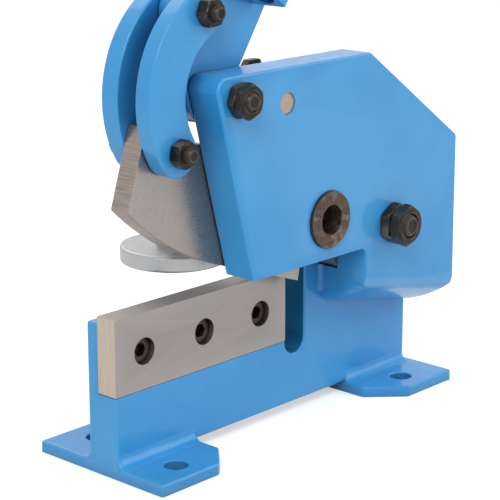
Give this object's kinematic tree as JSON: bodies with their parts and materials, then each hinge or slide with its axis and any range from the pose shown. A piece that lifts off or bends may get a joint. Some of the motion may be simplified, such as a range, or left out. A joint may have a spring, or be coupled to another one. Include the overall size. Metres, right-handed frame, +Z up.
{
  "type": "bench lever shear",
  "caption": "Bench lever shear: footed frame with a fixed blade, a swinging blade behind a thick cheek, curved links, a tube handle, a round-bar hole and a screw hold-down.",
  "frame": {"origin": "centre of the four foot holes, on the bench surface", "axes": "+Z up, +X from the mouth towards the rear foot, +Y from the cheek towards the hold-down side"},
  "size_m": [0.3184, 0.1249, 0.6109],
  "materials": {
    "blue_paint": "glossy blue enamel",
    "tool_steel": "ground",
    "black_oxide": "black oxide",
    "bush_steel": "hardened, oil-dark",
    "bronze": "turned",
    "pin_steel": "sanded flush",
    "plated_steel": "zinc plated",
    "grip_rubber": "matt"
  },
  "bodies": {
    "frame": {"web_plate": "blue_paint", "cheek": "blue_paint", "front_foot": "blue_paint", "rear_foot": "blue_paint", "foot_welds": "blue_paint", "lower_blade": "tool_steel", "lower_blade_screws": "black_oxide", "lower_blade_nuts": "black_oxide", "cheek_bar_bush": "bush_steel", "blade_pivot_bolt": "black_oxide", "blade_pivot_washer": "black_oxide", "blade_pivot_nut": "black_oxide", "blade_pivot_locknut": "black_oxide", "lever_pivot_bolt": "black_oxide", "lever_pivot_washer": "black_oxide", "lever_pivot_nut": "black_oxide", "lever_pivot_locknut": "black_oxide", "stop_pin": "pin_steel", "hold_down_bracket": "blue_paint", "bracket_bolts_set": "black_oxide", "hold_down_locknut": "black_oxide"},
    "blade": {"upper_blade": "tool_steel", "blade_pivot_bush": "bronze", "blade_bar_bush": "bush_steel"},
    "lever": {"lever_plate": "blue_paint", "lever_bush": "bronze", "handle_socket": "blue_paint", "handle_screw": "black_oxide", "handle_tube": "blue_paint", "handle_grip": "grip_rubber"},
    "links": {"front_link": "blue_paint", "rear_link": "blue_paint", "link_washers": "black_oxide", "lower_link_bolt": "black_oxide", "lower_link_nut": "black_oxide", "upper_link_bolt": "black_oxide", "upper_link_nut": "black_oxide"},
    "pad": {"hold_down_pad": "plated_steel"},
    "screw": {"hold_down_screw": "plated_steel"}
  },
  "joints": [
    {"name": "lever_hinge", "type": "hinge", "parent": "frame", "child": "lever", "pos_m": [-0.07265, -0.02075, 0.2244], "axis": [0, -1, 0], "range_deg": [0, 84]},
    {"name": "blade_hinge", "type": "hinge", "parent": "frame", "child": "blade", "pos_m": [0.07235, -0.02075, 0.1258], "axis": [0, -1, 0], "range_deg": [0, 18.3]},
    {"name": "links_hinge", "type": "hinge", "parent": "lever", "child": "links", "pos_m": [-0.08668, -0.02075, 0.27467], "axis": [0, -1, 0], "range_deg": [-61.6, 0]},
    {"name": "screw_turn", "type": "hinge", "parent": "pad", "child": "screw", "pos_m": [-0.05235, 0.0225, 0.159], "axis": [0, 0, 1], "range_deg": [-1561, 1981]},
    {"name": "pad_slide", "type": "slide", "parent": "frame", "child": "pad", "axis": [0, 0, 1], "range_m": [-0.013, 0.0165]}
  ],
  "couplings": [
    {"joint": "blade_hinge", "follows": "lever_hinge", "ratio": 0.2167},
    {"joint": "links_hinge", "follows": "lever_hinge", "ratio": -0.7319},
    {"joint": "screw_turn", "follows": "pad_slide", "rad_per_m": 2094.4}
  ]
}
